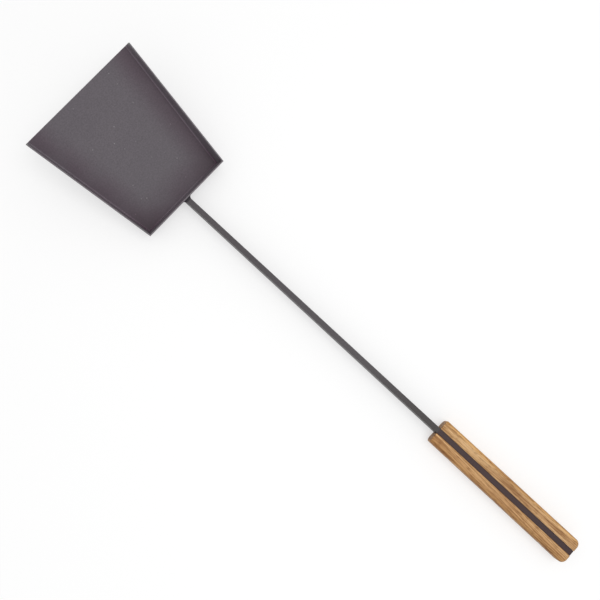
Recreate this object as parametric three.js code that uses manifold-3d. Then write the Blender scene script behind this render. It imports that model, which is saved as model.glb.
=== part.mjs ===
// A fireplace shovel, lying as it does when it is put down. The heel of the pan and the underside of the
// bar touch the surface at z = 0, the mouth of the pan points towards -Y and is tipped up, and the handle
// runs towards +Y. The origin is the middle of the shovel's outline on that surface. Sizes are in
// millimetres and degrees.
import * as THREE from "three";
import { mergeVertices } from "three/addons/utils/BufferGeometryUtils.js";
import Module from "manifold-3d";

const wasm = await Module();
wasm.setup();

// Pan: a folded sheet. Its floor is measured between the lines where the inner faces of floor and walls
// would meet, and its walls from the underside of the floor.
const SHEET_THICKNESS = 1.5;
const BEND_RADIUS = 1.5;
const FLOOR_LENGTH = 155;
const MOUTH_WIDTH = 149;
const HEEL_WIDTH = 108.5;
const BACK_HEIGHT = 25;
const MOUTH_HEIGHT = 15;
const MOUTH_RAKE = 2.2;
const MOUTH_CORNER_RADIUS = 2;
const WALL_FLARE = 5;

// Bar: a flat bar on edge, shaft and tang in one. Its rise is the angle between it and the pan's floor.
const BAR_RISE = 19;
const BAR_THICKNESS = 6;
const BAR_HEIGHT = 20;
const BAR_EDGE = 0.5;
const BAR_END_RADIUS = 2;
const SHAFT_LENGTH = 377;

// Handle: two scales glued and pinned to the tang
const HANDLE_LENGTH = 181;
const SCALE_THICKNESS = 11.2;
const HANDLE_ROUNDING = 4;
const HANDLE_END_ROUNDING = 1;
const HANDLE_FRONT_CORNER = 3;
const HANDLE_REAR_CORNER = 4.5;
const PIN_RADIUS = 2.5;
const PIN_INSET = 28;
const PIN_RECESS = 0.15;

// Welds
const CORNER_BEAD_RADIUS = 1.3;
const FILLET_LEG = 5;
const FILLET_HOLLOW = 0.35;

// Clearances
const FIT_GAP = 0.3;
const GLUE_LINE = 0.2;

// Steps of the round stretches
const ARC_STEPS = 6;
const EDGE_STEPS = 2;
const BEAD_SIDES = 12;
const PIN_SIDES = 32;

const OUTER_BEND_RADIUS = BEND_RADIUS + SHEET_THICKNESS;
const HANDLE_WIDTH = BAR_THICKNESS + 2 * (GLUE_LINE + SCALE_THICKNESS);
const BAR_END = SHAFT_LENGTH + HANDLE_LENGTH;
const FLARE_ANGLE = THREE.MathUtils.degToRad(WALL_FLARE);
const RISE_ANGLE = THREE.MathUtils.degToRad(BAR_RISE);
const BACK_LEAN = RISE_ANGLE + FLARE_ANGLE;
const BEND_TURN = Math.PI / 2 - FLARE_ANGLE;
const BEND_TANGENT = BEND_RADIUS * Math.tan(BEND_TURN / 2);

const coat = new THREE.MeshStandardMaterial({ color: 0x4e4a4d, roughness: 0.6, metalness: 0.2 });
const oak = new THREE.MeshStandardMaterial({ color: 0xc0935f, roughness: 0.65, metalness: 0 });
const steel = new THREE.MeshStandardMaterial({ color: 0x6d6c6e, roughness: 0.4, metalness: 1 });

function solid(geometry) {
  const bare = geometry.clone();
  bare.deleteAttribute("normal");
  bare.deleteAttribute("uv");
  const merged = mergeVertices(bare);
  return new wasm.Manifold(
    new wasm.Mesh({
      numProp: 3,
      vertProperties: merged.attributes.position.array,
      triVerts: new Uint32Array(merged.index.array),
    }),
  );
}

function meshOf(name, shape, material) {
  const { numProp, vertProperties, triVerts } = shape.getMesh();
  const vertices = new THREE.InterleavedBuffer(vertProperties, numProp);
  const indexed = new THREE.BufferGeometry();
  indexed.setAttribute("position", new THREE.InterleavedBufferAttribute(vertices, 3, 0));
  indexed.setIndex(new THREE.BufferAttribute(triVerts, 1));
  const geometry = indexed.toNonIndexed();
  geometry.computeVertexNormals();
  const mesh = new THREE.Mesh(geometry, material);
  mesh.name = name;
  return mesh;
}

function arc(centreX, centreY, radius, from, to) {
  const points = [];
  for (let i = 0; i <= ARC_STEPS; i++) {
    const angle = from + ((to - from) * i) / ARC_STEPS;
    points.push(new THREE.Vector2(centreX + radius * Math.cos(angle), centreY + radius * Math.sin(angle)));
  }
  return points;
}

// A closed outline from its corners [x, y, radius], each one rounded where its radius isn't zero.
function roundedOutline(corners) {
  return corners.flatMap(([x, y, radius], i) => {
    const corner = new THREE.Vector2(x, y);
    if (!radius) return [corner];
    const towards = (j) => new THREE.Vector2(...corners[j % corners.length]).sub(corner).normalize();
    const before = towards(i + corners.length - 1);
    const after = towards(i + 1);
    const half = Math.acos(before.dot(after)) / 2;
    const centre = before.clone().add(after).normalize().multiplyScalar(radius / Math.sin(half)).add(corner);
    const touch = (side) => side.clone().multiplyScalar(radius / Math.tan(half)).add(corner).sub(centre);
    const from = touch(before).angle();
    const turn = Math.PI - 2 * half;
    return arc(centre.x, centre.y, radius, from, from + turn * Math.sign(after.cross(before)));
  });
}

function extruded(outline, depth, basis, edge = 0) {
  const options = {
    depth: depth - 2 * edge,
    bevelEnabled: edge > 0,
    bevelThickness: edge,
    bevelSize: edge,
    bevelOffset: -edge,
    bevelSegments: EDGE_STEPS,
  };
  const geometry = new THREE.ExtrudeGeometry(new THREE.Shape(outline), options);
  geometry.translate(0, 0, edge);
  return geometry.applyMatrix4(basis);
}

// Extrudes a section along a bend line in plan. The section's x runs outwards, to the right of the line as
// it goes from `start` to `end`, and its y runs up. It overruns both ends, so that its neighbours cut it.
function alongBend(section, start, end) {
  const overrun = MOUTH_WIDTH / 2 + BACK_HEIGHT;
  const along = end.clone().sub(start).normalize();
  const outward = new THREE.Vector3(along.y, -along.x, 0);
  const up = new THREE.Vector3(0, 0, 1);
  const basis = new THREE.Matrix4().makeBasis(outward, up, outward.clone().cross(up));
  basis.setPosition(end.clone().addScaledVector(along, overrun));
  return solid(extruded(section, start.distanceTo(end) + 2 * overrun, basis));
}

// Corners of the pan's floor in plan, counter-clockwise from the right end of the mouth
const mouthRight = new THREE.Vector3(MOUTH_WIDTH / 2, -FLOOR_LENGTH, 0);
const heelRight = new THREE.Vector3(HEEL_WIDTH / 2, 0, 0);
const heelLeft = new THREE.Vector3(-HEEL_WIDTH / 2, 0, 0);
const mouthLeft = new THREE.Vector3(-MOUTH_WIDTH / 2, -FLOOR_LENGTH, 0);

// The space inside the three folded walls, up to their inner or outer faces: its bends have the given
// radius, its floor lies at `base`, and it goes up past the tops of the walls, to be trimmed.
function traySpace(radius, base) {
  const inward = -(MOUTH_WIDTH + FLOOR_LENGTH);
  const top = 2 * BACK_HEIGHT + base;
  const bend = arc(-BEND_TANGENT, OUTER_BEND_RADIUS, radius, -Math.PI / 2, BEND_TURN - Math.PI / 2);
  const wallFoot = bend[bend.length - 1];
  const wallTop = new THREE.Vector2(wallFoot.x + (top - wallFoot.y) * Math.tan(FLARE_ANGLE), top);
  const section = [new THREE.Vector2(inward, base), ...bend, wallTop, new THREE.Vector2(inward, top)];
  return alongBend(section, mouthRight, heelRight)
    .intersect(alongBend(section, heelRight, heelLeft))
    .intersect(alongBend(section, heelLeft, mouthLeft));
}

// The pan seen from the side: the walls are lower at the mouth, where their front edges lean back.
function sideOutline() {
  const behind = BACK_HEIGHT;
  const below = -SHEET_THICKNESS;
  return roundedOutline([
    [-FLOOR_LENGTH, below, 0],
    [behind, below, 0],
    [behind, BACK_HEIGHT, 0],
    [0, BACK_HEIGHT, 0],
    [MOUTH_RAKE - FLOOR_LENGTH, MOUTH_HEIGHT, MOUTH_CORNER_RADIUS],
    [-FLOOR_LENGTH, SHEET_THICKNESS, 0],
  ]);
}

// Shape x to world y, shape y to world z, and the depth centred on the plane of symmetry.
function acrossX(width) {
  const basis = new THREE.Matrix4();
  basis.makeBasis(new THREE.Vector3(0, 1, 0), new THREE.Vector3(0, 0, 1), new THREE.Vector3(1, 0, 0));
  return basis.setPosition(-width / 2, 0, 0);
}

// A round bar between two points.
function roundBar(from, to, radius, sides) {
  const axis = to.clone().sub(from);
  const geometry = new THREE.CylinderGeometry(radius, radius, axis.length(), sides);
  const turn = new THREE.Quaternion().setFromUnitVectors(new THREE.Vector3(0, 1, 0), axis.normalize());
  geometry.applyQuaternion(turn);
  const middle = from.clone().add(to).divideScalar(2);
  return solid(geometry.translate(middle.x, middle.y, middle.z));
}

// The seam up a rear corner, halfway through the sheet, as a round bar. `side` is 1 on the right, -1 on
// the left.
function cornerSeam(side, radius, bottom, top) {
  const sideRun = heelRight.clone().sub(mouthRight).normalize();
  const mitre = new THREE.Vector3(sideRun.y, -sideRun.x, 0).add(new THREE.Vector3(0, 1, 0)).normalize();
  const at = (height) => {
    const innerFace = (height - SHEET_THICKNESS) * Math.tan(FLARE_ANGLE);
    const midSheet = innerFace + SHEET_THICKNESS / 2 / Math.cos(FLARE_ANGLE);
    const point = heelRight.clone().addScaledVector(mitre, midSheet / mitre.y);
    return new THREE.Vector3(side * point.x, point.y, height);
  };
  return roundBar(at(bottom), at(top), radius, BEAD_SIDES);
}

function panSolid() {
  const width = 2 * MOUTH_WIDTH;
  const trim = solid(extruded(sideOutline(), width, acrossX(width)));
  const groove = (side) =>
    cornerSeam(side, CORNER_BEAD_RADIUS + FIT_GAP, OUTER_BEND_RADIUS, BACK_HEIGHT + SHEET_THICKNESS);
  return traySpace(OUTER_BEND_RADIUS, 0)
    .subtract(traySpace(BEND_RADIUS, SHEET_THICKNESS))
    .intersect(trim)
    .subtract(groove(1))
    .subtract(groove(-1));
}

function cornerWeldSolid(side) {
  return cornerSeam(side, CORNER_BEAD_RADIUS, OUTER_BEND_RADIUS + FIT_GAP, BACK_HEIGHT - FIT_GAP);
}

// Where the bar's front end, cut parallel to the leaning back wall, is at a height above the surface.
function barFrontAt(height) {
  const offset = OUTER_BEND_RADIUS + FIT_GAP;
  const upWall = (height - OUTER_BEND_RADIUS + offset * Math.sin(BACK_LEAN)) / Math.cos(BACK_LEAN);
  return offset * Math.cos(BACK_LEAN) + upWall * Math.sin(BACK_LEAN);
}

const pinPlaces = {
  pin_front: SHAFT_LENGTH + PIN_INSET,
  pin_middle: SHAFT_LENGTH + HANDLE_LENGTH / 2,
  pin_rear: BAR_END - PIN_INSET,
};

function pinSolid(y, radius, length) {
  const end = (side) => new THREE.Vector3((side * length) / 2, y, BAR_HEIGHT / 2);
  return roundBar(end(-1), end(1), radius, PIN_SIDES);
}

function withPinHoles(shape) {
  return Object.values(pinPlaces).reduce(
    (left, y) => left.subtract(pinSolid(y, PIN_RADIUS + FIT_GAP, 2 * HANDLE_WIDTH)),
    shape,
  );
}

function barSolid() {
  const outline = roundedOutline([
    [barFrontAt(0), 0, 0],
    [BAR_END, 0, BAR_END_RADIUS],
    [BAR_END, BAR_HEIGHT, BAR_END_RADIUS],
    [barFrontAt(BAR_HEIGHT), BAR_HEIGHT, 0],
  ]);
  return withPinHoles(solid(extruded(outline, BAR_THICKNESS, acrossX(BAR_THICKNESS), BAR_EDGE)));
}

// Both scales in one block, as they are shaped together: long edges well rounded, ends rounded in plan.
function handleBlock() {
  const half = HANDLE_WIDTH / 2;
  const section = roundedOutline([
    [-half, 0, HANDLE_ROUNDING],
    [half, 0, HANDLE_ROUNDING],
    [half, BAR_HEIGHT, HANDLE_ROUNDING],
    [-half, BAR_HEIGHT, HANDLE_ROUNDING],
  ]);
  const plan = roundedOutline([
    [-half, SHAFT_LENGTH, HANDLE_FRONT_CORNER],
    [half, SHAFT_LENGTH, HANDLE_FRONT_CORNER],
    [half, BAR_END, HANDLE_REAR_CORNER],
    [-half, BAR_END, HANDLE_REAR_CORNER],
  ]);
  const lengthwise = new THREE.Matrix4();
  lengthwise.makeBasis(new THREE.Vector3(1, 0, 0), new THREE.Vector3(0, 0, 1), new THREE.Vector3(0, -1, 0));
  lengthwise.setPosition(0, BAR_END, 0);
  const rod = solid(extruded(section, HANDLE_LENGTH, lengthwise));
  return rod.intersect(solid(extruded(plan, BAR_HEIGHT, new THREE.Matrix4(), HANDLE_END_ROUNDING)));
}

function scaleSolid(side) {
  const box = new THREE.BoxGeometry(HANDLE_WIDTH, 2 * HANDLE_LENGTH, 2 * BAR_HEIGHT);
  const inner = BAR_THICKNESS / 2 + GLUE_LINE;
  box.translate(side * (inner + HANDLE_WIDTH / 2), SHAFT_LENGTH + HANDLE_LENGTH / 2, BAR_HEIGHT / 2);
  return withPinHoles(handleBlock().intersect(solid(box)));
}

// A hollow fillet in the corner between the bar's side and the back wall. It stands in a frame at the
// centre of the heel's bend, turned so that z runs up the back wall and y away from it.
function barWeldSolid(side) {
  const x = BAR_THICKNESS / 2 + FIT_GAP;
  const y = OUTER_BEND_RADIUS + FIT_GAP;
  const sink = FILLET_LEG * FILLET_HOLLOW;
  const hollow = new THREE.QuadraticBezierCurve(
    new THREE.Vector2(side * (x + FILLET_LEG), y),
    new THREE.Vector2(side * (x + sink), y + sink),
    new THREE.Vector2(side * x, y + FILLET_LEG),
  );
  const outline = [new THREE.Vector2(side * x, y), ...hollow.getPoints(ARC_STEPS)];
  const foot = BEND_RADIUS;
  const top = (BAR_HEIGHT - OUTER_BEND_RADIUS + y * Math.sin(BACK_LEAN)) / Math.cos(BACK_LEAN);
  return solid(extruded(outline, top - 2 * BAR_EDGE - foot, new THREE.Matrix4().setPosition(0, 0, foot)));
}

// The pan and its corner welds stand in a frame with z = 0 on the underside of the floor. The heel's bend
// rests on the surface, and the pan is tipped about the centre of that bend by the rise of the bar.
const pan = new THREE.Group();
pan.position.set(0, BEND_TANGENT, -OUTER_BEND_RADIUS);
pan.add(meshOf("pan", panSolid(), coat));
pan.add(meshOf("corner_weld_right", cornerWeldSolid(1), coat));
pan.add(meshOf("corner_weld_left", cornerWeldSolid(-1), coat));

const tippedPan = new THREE.Group();
tippedPan.position.z = OUTER_BEND_RADIUS;
tippedPan.rotation.x = -RISE_ANGLE;
tippedPan.add(pan);

const barWelds = new THREE.Group();
barWelds.position.z = OUTER_BEND_RADIUS;
barWelds.rotation.x = -BACK_LEAN;
barWelds.add(meshOf("bar_weld_right", barWeldSolid(1), coat));
barWelds.add(meshOf("bar_weld_left", barWeldSolid(-1), coat));

const shovel = new THREE.Group();
shovel.add(tippedPan, barWelds);
shovel.add(meshOf("bar", barSolid(), coat));
shovel.add(meshOf("scale_right", scaleSolid(1), oak));
shovel.add(meshOf("scale_left", scaleSolid(-1), oak));
for (const [name, y] of Object.entries(pinPlaces)) {
  shovel.add(meshOf(name, pinSolid(y, PIN_RADIUS, HANDLE_WIDTH - 2 * PIN_RECESS), steel));
}

const outline = new THREE.Box3().setFromObject(shovel, true);
shovel.position.y = -(outline.min.y + outline.max.y) / 2;

export default shovel;
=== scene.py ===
# A fireplace shovel as it lies on a pale table: a folded steel pan, a flat bar welded to its back, and a
# handle of two oak scales pinned either side of the bar. The sections follow the order in which the shovel
# is made. Lengths are in metres, and the pan's mouth points towards -Y.
import math

import bmesh
import bpy
from mathutils import Matrix, Vector


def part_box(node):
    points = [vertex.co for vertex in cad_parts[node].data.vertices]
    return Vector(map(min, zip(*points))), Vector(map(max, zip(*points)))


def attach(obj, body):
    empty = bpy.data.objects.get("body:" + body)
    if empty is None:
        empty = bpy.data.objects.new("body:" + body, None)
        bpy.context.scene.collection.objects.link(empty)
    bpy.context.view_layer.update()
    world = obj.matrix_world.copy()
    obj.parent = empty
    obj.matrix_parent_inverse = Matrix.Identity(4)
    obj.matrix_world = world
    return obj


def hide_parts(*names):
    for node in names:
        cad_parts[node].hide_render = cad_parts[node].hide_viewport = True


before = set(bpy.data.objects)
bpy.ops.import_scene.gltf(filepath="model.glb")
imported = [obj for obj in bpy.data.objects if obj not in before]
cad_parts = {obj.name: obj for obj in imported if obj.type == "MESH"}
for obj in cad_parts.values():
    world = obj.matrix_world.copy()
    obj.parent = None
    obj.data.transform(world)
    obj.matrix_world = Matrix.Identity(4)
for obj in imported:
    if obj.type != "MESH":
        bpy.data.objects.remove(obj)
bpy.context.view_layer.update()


# The pan blank: mild steel sheet, cut as one piece and folded up on three sides over a small radius. The
# walls lean out by a few degrees and get lower towards the mouth. It is made here in the pan's own frame,
# with the underside of its floor at z = 0, and then tipped to the angle at which it is welded to the bar.
sheet = 0.0015
bend_radius = 0.0015
outer_bend = bend_radius + sheet
floor_length = 0.155
mouth_width = 0.149
heel_width = 0.1085
back_height = 0.025
mouth_height = 0.015
mouth_rake = 0.0022
mouth_corner = 0.0019
sheared_edge = 0.00025
flare = math.radians(5)
rise = math.radians(19)
shaft_length = 0.377
handle_length = 0.181
bar_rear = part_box("bar")[1].y
heel_y = bar_rear - shaft_length - handle_length
bend_setback = bend_radius * math.tan((math.pi / 2 - flare) / 2)
tip_pan = (
    Matrix.Translation((0, heel_y, outer_bend))
    @ Matrix.Rotation(-rise, 4, "X")
    @ Matrix.Translation((0, bend_setback, -outer_bend))
)

side_run = Vector(((heel_width - mouth_width) / 2, floor_length, 0)).normalized()
side_out = Vector((side_run.y, -side_run.x, 0))


def inner_face(height):
    """How far a wall's inner face has leant out from its bend line at this height."""
    return (height - sheet) * math.tan(flare)


def rear_corner(side, offset, height):
    """The corner of the side wall and the back wall, both this far out from their bend lines."""
    mitre = (side_out + Vector((0, 1, 0))).normalized()
    point = Vector((heel_width / 2, 0, 0)) + mitre * (offset / mitre.y)
    return Vector((side * point.x, point.y, height))


def side_wall_point(side, y, height):
    """A point on a side wall's inner face, by its place along the pan and its height."""
    start = Vector((mouth_width / 2, -floor_length, 0)) + side_out * inner_face(height)
    point = start + side_run * ((y - start.y) / side_run.y)
    return Vector((side * point.x, y, height))


def finished_object(name, bm):
    """Makes the piece from its bmesh, with smooth faces, and puts it on the shovel's one body."""
    bmesh.ops.recalc_face_normals(bm, faces=bm.faces)
    mesh = bpy.data.meshes.new(name)
    bm.to_mesh(mesh)
    bm.free()
    mesh.shade_smooth()
    piece = bpy.data.objects.new(name, mesh)
    bpy.context.scene.collection.objects.link(piece)
    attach(piece, "root")
    return piece


def round_edges(piece, width, sharp=math.radians(40)):
    """Takes the sharpness off cut edges, and keeps the flat faces looking flat."""
    edges = piece.modifiers.new("broken_edges", "BEVEL")
    edges.width = width
    edges.segments = 3
    edges.limit_method = "ANGLE"
    edges.angle_limit = sharp
    shade = piece.modifiers.new("even_shading", "WEIGHTED_NORMAL")
    shade.weight = 100


halfway = -floor_length / 2
blank = bmesh.new()
floor_corners = [
    blank.verts.new((mouth_width / 2, -floor_length, sheet)),
    blank.verts.new((heel_width / 2, 0, sheet)),
    blank.verts.new((-heel_width / 2, 0, sheet)),
    blank.verts.new((-mouth_width / 2, -floor_length, sheet)),
]
blank.faces.new(floor_corners)
blank.edges.ensure_lookup_table()
bend_lines = [e for e in blank.edges if not all(v.co.y < halfway for v in e.verts)]
folded = bmesh.ops.extrude_edge_only(blank, edges=bend_lines)["geom"]
wall_tops = [v for v in folded if isinstance(v, bmesh.types.BMVert)]
for vert in wall_tops:
    side = 1 if vert.co.x > 0 else -1
    if vert.co.y > halfway:
        vert.co = rear_corner(side, inner_face(back_height), back_height)
    else:
        vert.co = side_wall_point(side, mouth_rake - floor_length, mouth_height)
front_tops = [v for v in wall_tops if v.co.y < halfway]
bmesh.ops.bevel(
    blank, geom=front_tops, offset=mouth_corner, offset_type="OFFSET", segments=6, profile=0.5,
    affect="VERTICES", material=-1,
)
floor_face = max(blank.faces, key=lambda f: f.calc_area())
bend_lines = [e for e in floor_face.edges if len(e.link_faces) == 2]
bmesh.ops.bevel(
    blank, geom=bend_lines, offset=bend_setback, offset_type="OFFSET", segments=8, profile=0.5,
    affect="EDGES", material=-1,
)
bmesh.ops.recalc_face_normals(blank, faces=blank.faces)
floor_face = max(blank.faces, key=lambda f: f.calc_area())
if floor_face.normal.z < 0:
    bmesh.ops.reverse_faces(blank, faces=blank.faces)
blank.transform(tip_pan)
pan_mesh = bpy.data.meshes.new("folded_pan")
blank.to_mesh(pan_mesh)
blank.free()
pan_mesh.shade_smooth()
pan = bpy.data.objects.new("folded_pan", pan_mesh)
bpy.context.scene.collection.objects.link(pan)
thickness = pan.modifiers.new("sheet_thickness", "SOLIDIFY")
thickness.thickness = sheet
thickness.offset = -1
thickness.use_even_offset = True
thickness.use_quality_normals = True
round_edges(pan, sheared_edge)
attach(pan, "root")
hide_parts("pan")


# The coat: a matt charcoal powder coat baked on the whole of the welded steelwork. It is faintly purple,
# with a very fine orange-peel skin, cloudy patches where it was handled, and a few pale specks of dust.
deep_charcoal = (0.077, 0.064, 0.077, 1)
pale_charcoal = (0.094, 0.08, 0.093, 1)
pale_dust = (0.2, 0.19, 0.2, 1)
coat = bpy.data.materials.new("charcoal_powder_coat")
coat.use_nodes = True
nodes, links = coat.node_tree.nodes, coat.node_tree.links
shader = nodes["Principled BSDF"]
shader.inputs["Specular IOR Level"].default_value = 0.4
place = nodes.new("ShaderNodeTexCoord")
spread = nodes.new("ShaderNodeMapping")
links.new(place.outputs["Object"], spread.inputs["Vector"])
clouds = nodes.new("ShaderNodeTexNoise")
clouds.name = "clouds"
clouds.inputs["Scale"].default_value = 22
clouds.inputs["Detail"].default_value = 5
links.new(spread.outputs["Vector"], clouds.inputs["Vector"])
tone = nodes.new("ShaderNodeValToRGB")
tone.color_ramp.elements[0].position = 0.3
tone.color_ramp.elements[0].color = deep_charcoal
tone.color_ramp.elements[1].position = 0.7
tone.color_ramp.elements[1].color = pale_charcoal
links.new(clouds.outputs["Fac"], tone.inputs["Fac"])
specks = nodes.new("ShaderNodeTexVoronoi")
specks.inputs["Scale"].default_value = 90
links.new(spread.outputs["Vector"], specks.inputs["Vector"])
speck_size = nodes.new("ShaderNodeMapRange")
speck_size.inputs["From Min"].default_value = 0.075
speck_size.inputs["From Max"].default_value = 0.03
links.new(specks.outputs["Distance"], speck_size.inputs["Value"])
dust = nodes.new("ShaderNodeMix")
dust.data_type = "RGBA"
dust.inputs["B"].default_value = pale_dust
links.new(speck_size.outputs["Result"], dust.inputs["Factor"])
links.new(tone.outputs["Color"], dust.inputs["A"])
mottle = nodes.new("ShaderNodeTexNoise")
mottle.inputs["Scale"].default_value = 600
mottle.inputs["Detail"].default_value = 2
links.new(spread.outputs["Vector"], mottle.inputs["Vector"])
mottle_tone = nodes.new("ShaderNodeMapRange")
mottle_tone.inputs["From Min"].default_value = 0.3
mottle_tone.inputs["From Max"].default_value = 0.7
mottle_tone.inputs["To Min"].default_value = 0.86
mottle_tone.inputs["To Max"].default_value = 1.14
links.new(mottle.outputs["Fac"], mottle_tone.inputs["Value"])
speckled = nodes.new("ShaderNodeMix")
speckled.name = "speckled_coat"
speckled.data_type = "RGBA"
speckled.blend_type = "MULTIPLY"
speckled.inputs["Factor"].default_value = 1
links.new(dust.outputs["Result"], speckled.inputs["A"])
links.new(mottle_tone.outputs["Result"], speckled.inputs["B"])
links.new(speckled.outputs["Result"], shader.inputs["Base Color"])
skin = nodes.new("ShaderNodeTexNoise")
skin.inputs["Scale"].default_value = 900
skin.inputs["Detail"].default_value = 3
links.new(spread.outputs["Vector"], skin.inputs["Vector"])
skin_depth = nodes.new("ShaderNodeBump")
skin_depth.inputs["Strength"].default_value = 0.25
skin_depth.inputs["Distance"].default_value = 0.0002
links.new(skin.outputs["Fac"], skin_depth.inputs["Height"])
links.new(skin_depth.outputs["Normal"], shader.inputs["Normal"])
gloss = nodes.new("ShaderNodeMapRange")
gloss.inputs["To Min"].default_value = 0.42
gloss.inputs["To Max"].default_value = 0.56
links.new(clouds.outputs["Fac"], gloss.inputs["Value"])
links.new(gloss.outputs["Result"], shader.inputs["Roughness"])


def measured(tree, value, at_none, at_full):
    """A mask that grows smoothly from 0 to 1 as the value goes from one figure to the other."""
    node = tree.nodes.new("ShaderNodeMapRange")
    node.interpolation_type = "SMOOTHSTEP"
    node.inputs["From Min"].default_value = at_none
    node.inputs["From Max"].default_value = at_full
    tree.links.new(value, node.inputs["Value"])
    return node.outputs["Result"]


def worked_out(tree, operation, first, second=0.0, third=0.0):
    """One sum on values that may be plain numbers or sockets."""
    node = tree.nodes.new("ShaderNodeMath")
    node.operation = operation
    for socket, value in zip(node.inputs, (first, second, third)):
        if isinstance(value, float):
            socket.default_value = value
        else:
            tree.links.new(value, socket)
    return node.outputs["Value"]


def tinted(tree, colour, mask, tint, how="MULTIPLY"):
    """The colour with a tint laid over it as far as the mask goes, or all over where the mask is 1.0."""
    node = tree.nodes.new("ShaderNodeMix")
    node.data_type = "RGBA"
    node.blend_type = how
    if isinstance(mask, float):
        node.inputs["Factor"].default_value = mask
    else:
        tree.links.new(mask, node.inputs["Factor"])
    tree.links.new(colour, node.inputs["A"])
    node.inputs["B"].default_value = (*tint, 1)
    return node.outputs["Result"]


# The coat on the pan: painted shade darkens it along the walls, in cloudy patches, and most in the rear
# corners. Painted light makes it a little paler on the bends and the walls. It is rubbed thin, and so
# paler, at the two front tips.
side_shade_reach = 0.036
back_shade_reach = 0.040
thinnest_shade, shade_in_patches = 0.62, 0.5
patch_edge, patch_middle = 0.25, 0.6
side_highlight_start, side_highlight_full = 0.0019, 0.0012
back_highlight_start, back_highlight_full = 0.0015, 0.0009
wall_start, wall_full = sheet + 0.0007, sheet + 0.0012
worn_tip_length, worn_tip_height, worn_tip_fade = 0.005, 0.004, 0.002
wall_shade_tint = (0.64, 0.46, 0.57)
corner_shade_tint = (0.56, 0.34, 0.48)
bend_highlight_tint = (2.15, 2.7, 2.3)
wall_light_tint = (1.12, 1.24, 1.14)
worn_tip_colour = (0.2, 0.2, 0.19)
pan_coat = coat.copy()
pan_coat.name = "pan_powder_coat"
tree = pan_coat.node_tree
laid_level = tip_pan.inverted()
level = tree.nodes.new("ShaderNodeMapping")
level.inputs["Location"].default_value = laid_level.to_translation()
level.inputs["Rotation"].default_value = laid_level.to_euler()
tree.links.new(tree.nodes["Texture Coordinate"].outputs["Object"], level.inputs["Vector"])
on_pan = tree.nodes.new("ShaderNodeSeparateXYZ")
tree.links.new(level.outputs["Vector"], on_pan.inputs["Vector"])
along, height = on_pan.outputs["Y"], on_pan.outputs["Z"]
widening = (heel_width - mouth_width) / 2 / floor_length
half_width = worked_out(tree, "MULTIPLY_ADD", along, widening, heel_width / 2)
from_side = worked_out(tree, "SUBTRACT", half_width, worked_out(tree, "ABSOLUTE", on_pan.outputs["X"]))
near_side = measured(tree, from_side, side_shade_reach, 0.0)
near_back = measured(tree, along, -back_shade_reach, 0.0)
painted_wall_shade = worked_out(tree, "MAXIMUM", near_side, near_back)
shade_patches = measured(tree, tree.nodes["clouds"].outputs["Fac"], patch_edge, patch_middle)
patchy_shade = worked_out(tree, "MULTIPLY_ADD", shade_patches, shade_in_patches, thinnest_shade)
painted_wall_shade = worked_out(tree, "MULTIPLY", painted_wall_shade, patchy_shade)
side_bend = measured(tree, from_side, side_highlight_start, side_highlight_full)
back_bend = measured(tree, along, -back_highlight_start, -back_highlight_full)
on_bend = worked_out(tree, "MAXIMUM", side_bend, back_bend)
on_wall = measured(tree, height, wall_start, wall_full)
off_wall = worked_out(tree, "SUBTRACT", 1.0, on_wall)
in_corner = worked_out(tree, "MULTIPLY", worked_out(tree, "MULTIPLY", near_side, near_back), off_wall)
tip_rear, tip_foot = worn_tip_length - floor_length, mouth_height - worn_tip_height
at_front = measured(tree, along, tip_rear, tip_rear - worn_tip_fade)
at_top = measured(tree, height, tip_foot, tip_foot + worn_tip_fade)
on_tip = worked_out(tree, "MULTIPLY", at_front, at_top)
colour = tree.nodes["speckled_coat"].outputs["Result"]
# Painted shade: darker along the walls, and darker still in the rear corners.
colour = tinted(tree, colour, painted_wall_shade, wall_shade_tint)
colour = tinted(tree, colour, in_corner, corner_shade_tint)
# Painted light: a paler line along each bend, and paler walls.
colour = tinted(tree, colour, on_bend, bend_highlight_tint)
colour = tinted(tree, colour, on_wall, wall_light_tint)
colour = tinted(tree, colour, on_tip, worn_tip_colour, "MIX")
tree.links.new(colour, tree.nodes["Principled BSDF"].inputs["Base Color"])
pan.data.materials.append(pan_coat)


# The corner seams: the folded walls meet at the two rear corners, where a bead of weld closes them from top
# to bottom. It was dressed nearly flush, so only a low, slightly rippled line stands out of the corner.
bead_radius = 0.0011
bead_start_radius = 0.9 * bead_radius
bead_sink = 0.0004
bead_top_gap = 0.0004
seam_foot = outer_bend
seam_top = back_height - bead_top_gap
ripples = 14
ripple_swell = 0.05


def drawn_on(bm, face):
    """Extrudes an end face on the spot, and gives the new end face."""
    lifted = bmesh.ops.extrude_face_region(bm, geom=[face, *face.edges])["geom"]
    return next(item for item in lifted if isinstance(item, bmesh.types.BMFace))


for side, node in ((1, "corner_weld_right"), (-1, "corner_weld_left")):
    foot = rear_corner(side, inner_face(seam_foot) + bead_sink, seam_foot)
    top = rear_corner(side, inner_face(seam_top) + bead_sink, seam_top)
    bead = bmesh.new()
    bmesh.ops.create_circle(bead, cap_ends=True, segments=20, radius=bead_start_radius)
    bead.transform((top - foot).to_track_quat("Z", "Y").to_matrix().to_4x4())
    bmesh.ops.translate(bead, verts=bead.verts, vec=foot)
    face = bead.faces[:][0]
    for step in range(1, 4 * ripples + 1):
        face = drawn_on(bead, face)
        centre = foot.lerp(top, step / (4 * ripples))
        width = bead_radius * (1 + ripple_swell * math.sin(step * math.pi / 2))
        old_centre = face.calc_center_median()
        for vert in face.verts:
            vert.co = centre + (vert.co - old_centre).normalized() * width
    bead.transform(tip_pan)
    weld = finished_object(node.replace("weld", "bead"), bead)
    weld.data.materials.append(coat)
    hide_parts(node)
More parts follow.
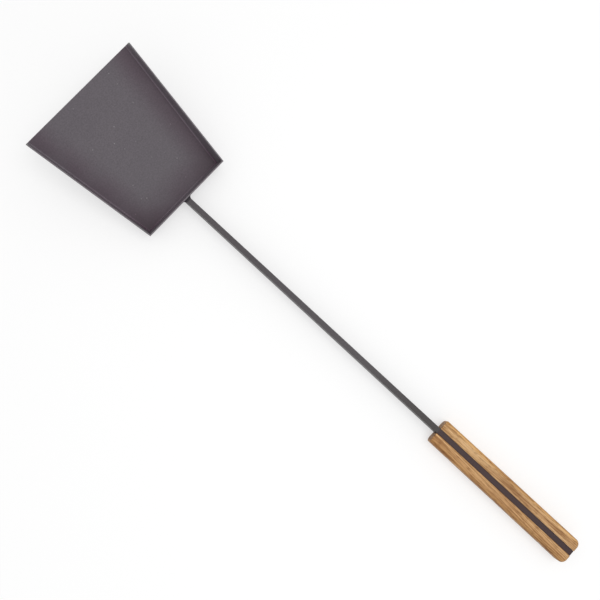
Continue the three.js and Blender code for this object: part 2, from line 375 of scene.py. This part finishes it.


# The bar: one length of 20 by 6 mm flat steel bar, set on edge. It is shaft and tang in one, cut at the
# front to the lean of the pan's back wall and butted against it, with its rear corners rounded. Its coat
# has painted shade at the weld, under the back wall's rim, darkens towards the hand, and is darkest between
# the scales.
bar_thickness = 0.006
bar_height = 0.020
bar_corner = 0.002
rolled_edge = 0.0005
back_lean = rise + flare
bar_front = heel_y + outer_bend / math.cos(back_lean) - outer_bend * math.tan(back_lean)
bar_top_start = bar_front + bar_height * math.tan(back_lean)

bar_blank = bmesh.new()
outline = [
    bar_blank.verts.new((-bar_thickness / 2, bar_front, 0)),
    bar_blank.verts.new((-bar_thickness / 2, bar_rear, 0)),
    bar_blank.verts.new((-bar_thickness / 2, bar_rear, bar_height)),
    bar_blank.verts.new((-bar_thickness / 2, bar_top_start, bar_height)),
]
bar_blank.faces.new(outline)
bmesh.ops.bevel(
    bar_blank, geom=outline[1:3], offset=bar_corner, offset_type="OFFSET", segments=6, profile=0.5,
    affect="VERTICES", material=-1,
)
lifted = bmesh.ops.extrude_face_region(bar_blank, geom=bar_blank.faces[:])["geom"]
bmesh.ops.translate(
    bar_blank, verts=[v for v in lifted if isinstance(v, bmesh.types.BMVert)], vec=(bar_thickness, 0, 0)
)
# Painted shade on the first few millimetres of the bar behind the pan's back wall.
root_shade_length, root_shade_fade = 0.0042, 0.0014
hand_dirt_start, hand_dirt_full = 0.12, 0.01
tang_fade = 0.001
shaft_tint = (0.86, 0.905, 0.83)
root_shade_tint = (0.4, 0.38, 0.42)
hand_dirt_tint = (0.63, 0.62, 0.55)
tang_tint = (0.8, 0.42, 0.44)
bar_coat = coat.copy()
bar_coat.name = "bar_powder_coat"
tree = bar_coat.node_tree
tree.nodes["Principled BSDF"].inputs["Specular IOR Level"].default_value = 0.29
on_bar = tree.nodes.new("ShaderNodeSeparateXYZ")
tree.links.new(tree.nodes["Texture Coordinate"].outputs["Object"], on_bar.inputs["Vector"])
along = on_bar.outputs["Y"]
handle_front = bar_rear - handle_length
root_shade_end = bar_top_start + root_shade_length
at_root = measured(tree, along, root_shade_end, root_shade_end - root_shade_fade)
near_handle = measured(tree, along, handle_front - hand_dirt_start, handle_front - hand_dirt_full)
in_handle = measured(tree, along, handle_front - tang_fade, handle_front + tang_fade)
colour = tree.nodes["speckled_coat"].outputs["Result"]
colour = tinted(tree, colour, 1.0, shaft_tint)
colour = tinted(tree, colour, at_root, root_shade_tint)
colour = tinted(tree, colour, near_handle, hand_dirt_tint)
colour = tinted(tree, colour, in_handle, tang_tint)
tree.links.new(colour, tree.nodes["Principled BSDF"].inputs["Base Color"])
bar = finished_object("flat_bar", bar_blank)
round_edges(bar, rolled_edge)
bar.data.materials.append(bar_coat)
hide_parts("bar")


# The bar welds: a hollow fillet either side of the bar, in the corner that it makes with the back wall.
# They were laid in a few overlapping passes before the steelwork was coated.
fillet_leg = 0.0034
fillet_sink = 0.0012
fillet_root = 0.0006
fillet_toe = 0.0002
fillet_hollow = 0.0014
fillet_top_gap = 0.0006
fillet_steps = 24
weld_pass_swell = 0.04
bar_side, wall_back = bar_thickness / 2, outer_bend
lean_frame = Matrix.Translation((0, heel_y, outer_bend)) @ Matrix.Rotation(-back_lean, 4, "X")
fillet_top = (bar_height - outer_bend) / math.cos(back_lean)
fillet_step = (fillet_top - bend_radius - fillet_top_gap) / fillet_steps
for side, node in ((1, "bar_weld_right"), (-1, "bar_weld_left")):
    fillet = bmesh.new()
    corners = [
        fillet.verts.new((side * (bar_side - fillet_root), wall_back - fillet_root, bend_radius)),
        fillet.verts.new((side * (bar_side + fillet_leg), wall_back - fillet_root, bend_radius)),
        fillet.verts.new((side * (bar_side + fillet_leg), wall_back + fillet_toe, bend_radius)),
        fillet.verts.new((side * (bar_side + fillet_sink), wall_back + fillet_sink, bend_radius)),
        fillet.verts.new((side * (bar_side + fillet_toe), wall_back + fillet_leg, bend_radius)),
        fillet.verts.new((side * (bar_side - fillet_root), wall_back + fillet_leg, bend_radius)),
    ]
    fillet.faces.new(corners)
    bmesh.ops.bevel(
        fillet, geom=[corners[3]], offset=fillet_hollow, offset_type="OFFSET", segments=6, profile=0.5,
        affect="VERTICES", material=-1,
    )
    face = fillet.faces[:][0]
    about_root = Matrix.Translation((-side * bar_side, -wall_back, 0))
    for step in range(1, fillet_steps + 1):
        face = drawn_on(fillet, face)
        bmesh.ops.translate(fillet, verts=face.verts, vec=(0, 0, fillet_step))
        swell = 1 + weld_pass_swell * math.sin(step * math.pi / 2)
        bmesh.ops.scale(fillet, verts=face.verts, vec=(swell, swell, 1), space=about_root)
    fillet.transform(lean_frame)
    weld = finished_object(node.replace("weld", "fillet"), fillet)
    weld.data.materials.append(coat)
    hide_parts(node)


# The scales: two strips of straight-grained oak, glued either side of the bar's tang. Their long outer
# edges are well rounded over, and their ends are cut square with the outer corners taken off and the sharp
# edges sanded away.
scale_low, scale_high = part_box("scale_right")
glue_line = 0.0001
scale_inner = bar_thickness / 2 + glue_line
scale_outer = scale_high.x
scale_width = scale_outer - scale_inner
long_edge_rounding = 0.004
glued_edge_rounding = 0.00015
end_edge_rounding = 0.0008
front_corner = 0.0022
rear_corner_radius = 0.0045


def end_rings(corner_radius, sanded_steps=5, corner_steps=7):
    """Distances in from an end, each with how much the section has shrunk at the corner and all round."""
    past_sanding = corner_radius - end_edge_rounding
    distances = []
    for step in range(sanded_steps + 1):
        distances.append(end_edge_rounding * (1 - math.cos(math.pi / 2 * step / sanded_steps)))
    for step in range(1, corner_steps + 1):
        distances.append(end_edge_rounding + past_sanding * (step / corner_steps) ** 1.5)

    def fall(radius, distance):
        return radius - math.sqrt(max(0, radius**2 - max(0, radius - distance) ** 2))

    return [(d, fall(corner_radius, d), fall(end_edge_rounding, d)) for d in distances]


def oak_scale(side, node):
    """One scale, drawn from its front end to its rear end through sections that shrink at both ends."""
    strip = bmesh.new()
    glued = [
        strip.verts.new((scale_inner, scale_low.y, 0)),
        strip.verts.new((scale_inner, scale_low.y, bar_height)),
    ]
    outer = [
        strip.verts.new((scale_outer, scale_low.y, bar_height)),
        strip.verts.new((scale_outer, scale_low.y, 0)),
    ]
    strip.faces.new(glued + outer)
    for corners, radius, segments in ((outer, long_edge_rounding, 12), (glued, glued_edge_rounding, 3)):
        bmesh.ops.bevel(
            strip, geom=corners, offset=radius, offset_type="OFFSET", segments=segments, profile=0.5,
            affect="VERTICES", material=-1,
        )
    rings = end_rings(front_corner)
    for distance, inset, trim in reversed(end_rings(rear_corner_radius)):
        rings.append((handle_length - distance, inset, trim))
    face = strip.faces[:][0]
    full = [vert.co.copy() for vert in face.verts]
    for index, (distance, inset, trim) in enumerate(rings):
        if index:
            face = drawn_on(strip, face)
        left, right = scale_inner + trim, scale_outer - inset - trim
        for vert, home in zip(face.verts, full):
            vert.co.x = left + (home.x - scale_inner) * (right - left) / scale_width
            vert.co.y = scale_low.y + distance
            vert.co.z = trim + home.z * (bar_height - 2 * trim) / bar_height
    if side < 0:
        bmesh.ops.scale(strip, verts=strip.verts, vec=(-1, 1, 1))
    scale = finished_object("oak_" + node, strip)
    shade = scale.modifiers.new("even_shading", "WEIGHTED_NORMAL")
    shade.weight = 100
    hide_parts(node)
    return scale


scales = [oak_scale(1, "scale_right"), oak_scale(-1, "scale_left")]


# The oak: oiled, with broad growth bands, fine dark grain lines and short open pores along the handle. The
# sawn ends are darker: end grain drank more oil, and painted shade adds to it. Each scale was cut from
# another part of the board, and the front of both is sunned. The right one is darker all over. Painted
# shade runs along the right scale's outer edge, and painted light along the left one's.
dark_band = (0.48, 0.26, 0.105, 1)
middle_band = (0.6, 0.36, 0.16, 1)
pale_band = (0.72, 0.47, 0.24, 1)
grain_start, grain_full = 0.47, 0.56
grain_tint = (0.58, 0.48, 0.37)
pore_start, pore_full = 0.54, 0.64
pore_tint = (0.62, 0.54, 0.45)
sunned_tint = (1.13, 1.15, 1.13)
end_grain_and_shade_tint = (0.62, 0.55, 0.5)
outer_edge_start, outer_edge_full = 0.0055, 0.0015
sunned_length = 0.09
end_grain_and_shade_depth, end_grain_and_shade_full = 0.0006, 0.0001


def oak_material(name, shift, slant, tone, painted_edge_shading):
    """Oak from its own part of the board, with its own tone and painted shading along its outer edge."""
    oak = bpy.data.materials.new(name)
    oak.use_nodes = True
    tree = oak.node_tree
    nodes, links = tree.nodes, tree.links
    shader = nodes["Principled BSDF"]
    shader.inputs["Specular IOR Level"].default_value = 0.29
    place = nodes.new("ShaderNodeTexCoord")

    def noise(scale, stretch, detail, roughness):
        """Noise drawn out along the handle, from this scale's part of the board."""
        board = nodes.new("ShaderNodeMapping")
        board.vector_type = "TEXTURE"
        board.inputs["Location"].default_value = shift
        board.inputs["Rotation"].default_value = (0, 0, math.radians(slant))
        board.inputs["Scale"].default_value = (1, stretch, 1)
        links.new(place.outputs["Object"], board.inputs["Vector"])
        node = nodes.new("ShaderNodeTexNoise")
        node.inputs["Scale"].default_value = scale
        node.inputs["Detail"].default_value = detail
        node.inputs["Roughness"].default_value = roughness
        links.new(board.outputs["Vector"], node.inputs["Vector"])
        return node.outputs["Fac"]

    bands = noise(scale=260, stretch=60, detail=3, roughness=0.5)
    ramp = nodes.new("ShaderNodeValToRGB")
    stops = ramp.color_ramp.elements
    stops[0].position = 0.34
    stops[0].color = dark_band
    stops[1].position = 0.66
    stops[1].color = pale_band
    middle = stops.new(0.5)
    middle.color = middle_band
    links.new(bands, ramp.inputs["Fac"])
    grain_noise = noise(scale=900, stretch=45, detail=4, roughness=0.55)
    grain = measured(tree, grain_noise, grain_start, grain_full)
    pore_noise = noise(scale=1100, stretch=9, detail=3, roughness=0.6)
    pores = measured(tree, pore_noise, pore_start, pore_full)
    on_scale = nodes.new("ShaderNodeSeparateXYZ")
    links.new(place.outputs["Object"], on_scale.inputs["Vector"])
    outwards, along = worked_out(tree, "ABSOLUTE", on_scale.outputs["X"]), on_scale.outputs["Y"]
    outer_edge = measured(tree, outwards, scale_outer - outer_edge_start, scale_outer - outer_edge_full)
    sunned = measured(tree, along, scale_low.y + sunned_length, scale_low.y)
    # The ends: darker end grain, with painted shade laid over it.
    front_end = measured(tree, along, scale_low.y + end_grain_and_shade_depth, scale_low.y + end_grain_and_shade_full)
    rear_end = measured(tree, along, bar_rear - end_grain_and_shade_depth, bar_rear - end_grain_and_shade_full)
    end_grain_and_shade = worked_out(tree, "MAXIMUM", front_end, rear_end)
    colour = tinted(tree, ramp.outputs["Color"], grain, grain_tint)
    colour = tinted(tree, colour, pores, pore_tint)
    colour = tinted(tree, colour, outer_edge, painted_edge_shading)
    colour = tinted(tree, colour, 1.0, tone)
    colour = tinted(tree, colour, sunned, sunned_tint)
    colour = tinted(tree, colour, end_grain_and_shade, end_grain_and_shade_tint)
    links.new(colour, shader.inputs["Base Color"])
    relief = nodes.new("ShaderNodeBump")
    relief.inputs["Strength"].default_value = 0.4
    relief.inputs["Distance"].default_value = 0.0002
    relief.invert = True
    links.new(pores, relief.inputs["Height"])
    links.new(relief.outputs["Normal"], shader.inputs["Normal"])
    polish = nodes.new("ShaderNodeMapRange")
    polish.inputs["To Min"].default_value = 0.6
    polish.inputs["To Max"].default_value = 0.48
    links.new(bands, polish.inputs["Value"])
    links.new(polish.outputs["Result"], shader.inputs["Roughness"])
    return oak


right_scale, left_scale = scales
# The right scale's outer edge gets painted shade, and the left scale's gets painted light.
right_oak = oak_material(
    "oak_right_grain", shift=(0.11, 0.4, 0.03), slant=-2.5,
    tone=(0.92, 0.88, 0.84), painted_edge_shading=(0.76, 0.7, 0.6),
)
left_oak = oak_material(
    "oak_left_grain", shift=(0.34, 0.9, 0.17), slant=1.5,
    tone=(0.98, 1.0, 1.05), painted_edge_shading=(1.08, 1.02, 0.85),
)
right_scale.data.materials.append(right_oak)
left_scale.data.materials.append(left_oak)


# The cross pins: three steel pins through scales and tang, filed level with the oak. Their round ends show
# on the handle's sides, brushed across by the file.
dull_steel = (0.3, 0.3, 0.31, 1)
bright_steel = (0.5, 0.5, 0.51, 1)
pin_steel = bpy.data.materials.new("filed_pin_steel")
pin_steel.use_nodes = True
nodes, links = pin_steel.node_tree.nodes, pin_steel.node_tree.links
shader = nodes["Principled BSDF"]
shader.inputs["Metallic"].default_value = 1
place = nodes.new("ShaderNodeTexCoord")
strokes = nodes.new("ShaderNodeMapping")
strokes.inputs["Scale"].default_value = (1, 0.06, 1)
links.new(place.outputs["Object"], strokes.inputs["Vector"])
scratches = nodes.new("ShaderNodeTexNoise")
scratches.inputs["Scale"].default_value = 4000
scratches.inputs["Detail"].default_value = 3
links.new(strokes.outputs["Vector"], scratches.inputs["Vector"])
steel_tone = nodes.new("ShaderNodeValToRGB")
steel_tone.color_ramp.elements[0].color = dull_steel
steel_tone.color_ramp.elements[1].color = bright_steel
links.new(scratches.outputs["Fac"], steel_tone.inputs["Fac"])
links.new(steel_tone.outputs["Color"], shader.inputs["Base Color"])
steel_gloss = nodes.new("ShaderNodeMapRange")
steel_gloss.inputs["To Min"].default_value = 0.28
steel_gloss.inputs["To Max"].default_value = 0.45
links.new(scratches.outputs["Fac"], steel_gloss.inputs["Value"])
links.new(steel_gloss.outputs["Result"], shader.inputs["Roughness"])
pin_stand = 0.0001
pin_edge = 0.0003
across = Matrix.Rotation(math.pi / 2, 4, "Y")
for node in ("pin_front", "pin_middle", "pin_rear"):
    low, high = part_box(node)
    radius = (high.y - low.y) / 2
    rod = bmesh.new()
    bmesh.ops.create_cone(
        rod, cap_ends=True, segments=40, radius1=radius, radius2=radius,
        depth=2 * (scale_outer + pin_stand), matrix=Matrix.Translation((low + high) / 2) @ across,
    )
    pin = finished_object("cross_" + node, rod)
    round_edges(pin, pin_edge)
    pin.data.materials.append(pin_steel)
    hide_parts(node)


# The table, the light and the camera. The table is plain and white to the eye, and still takes the soft
# shadow. The light comes from all round, and a little more from above the end of the handle. The camera
# looks down from where the photo was taken.
table_gap = 0.0002
table_glow, glow_share = 1.04, 0.5
room_light, white_paper = 0.7, 1.0


def seen_or_mirrored(tree):
    """1 where the table or the room is seen straight, in a reflection or through glass, and 0 elsewhere."""
    ray = tree.nodes.new("ShaderNodeLightPath")
    direct = worked_out(tree, "MAXIMUM", ray.outputs["Is Camera Ray"], ray.outputs["Is Glossy Ray"])
    return worked_out(tree, "MAXIMUM", direct, ray.outputs["Is Transmission Ray"])


table_mesh = bmesh.new()
bmesh.ops.create_grid(table_mesh, x_segments=1, y_segments=1, size=6)
mesh = bpy.data.meshes.new("table")
table_mesh.to_mesh(mesh)
table_mesh.free()
table = bpy.data.objects.new("table", mesh)
table.location.z = -table_gap
bpy.context.scene.collection.objects.link(table)
paper = bpy.data.materials.new("white_table")
paper.use_nodes = True
nodes, links = paper.node_tree.nodes, paper.node_tree.links
card = nodes["Principled BSDF"]
card.inputs["Base Color"].default_value = (1, 1, 1, 1)
card.inputs["Roughness"].default_value = 1
card.inputs["Specular IOR Level"].default_value = 0
glow = nodes.new("ShaderNodeEmission")
glow.inputs["Strength"].default_value = table_glow
lift = worked_out(paper.node_tree, "MULTIPLY", seen_or_mirrored(paper.node_tree), glow_share)
blend = nodes.new("ShaderNodeMixShader")
links.new(lift, blend.inputs["Fac"])
links.new(card.outputs["BSDF"], blend.inputs[1])
links.new(glow.outputs["Emission"], blend.inputs[2])
links.new(blend.outputs["Shader"], nodes["Material Output"].inputs["Surface"])
table.data.materials.append(paper)

world = bpy.data.worlds.new("studio")
bpy.context.scene.world = world
world.use_nodes = True
backdrop = world.node_tree.nodes["Background"]
backdrop.inputs["Color"].default_value = (1, 1, 1, 1)
room_strength = world.node_tree.nodes.new("ShaderNodeMapRange")
room_strength.inputs["To Min"].default_value = room_light
room_strength.inputs["To Max"].default_value = white_paper
world.node_tree.links.new(seen_or_mirrored(world.node_tree), room_strength.inputs["Value"])
world.node_tree.links.new(room_strength.outputs["Result"], backdrop.inputs["Strength"])
lamp_data = bpy.data.lights.new("soft_window", "AREA")
lamp_data.shape = "SQUARE"
lamp_data.size = 1.0
lamp_data.energy = 9
lamp = bpy.data.objects.new("soft_window", lamp_data)
lamp.location = (-0.2, 0.35, 1.6)
lamp.rotation_euler = (-lamp.location).to_track_quat("-Z", "Y").to_euler()
bpy.context.scene.collection.objects.link(lamp)

camera_data = bpy.data.cameras.new("overhead")
camera_data.lens = 42.861
camera_data.sensor_width = 36
camera = bpy.data.objects.new("overhead", camera_data)
camera_place = Vector((0.06343, heel_y + 0.25102, 0.77739))
looking = Vector((-0.085878, -0.096323, -0.991638)).normalized()
image_up = Vector((-0.726618, -0.674921, 0.128485)).normalized()
image_right = looking.cross(image_up)
camera.matrix_world = Matrix.Translation(camera_place) @ Matrix(
    (image_right, image_up, -looking)
).transposed().to_4x4()
bpy.context.scene.collection.objects.link(camera)
bpy.context.scene.camera = camera
bpy.context.scene.view_settings.view_transform = "Standard"
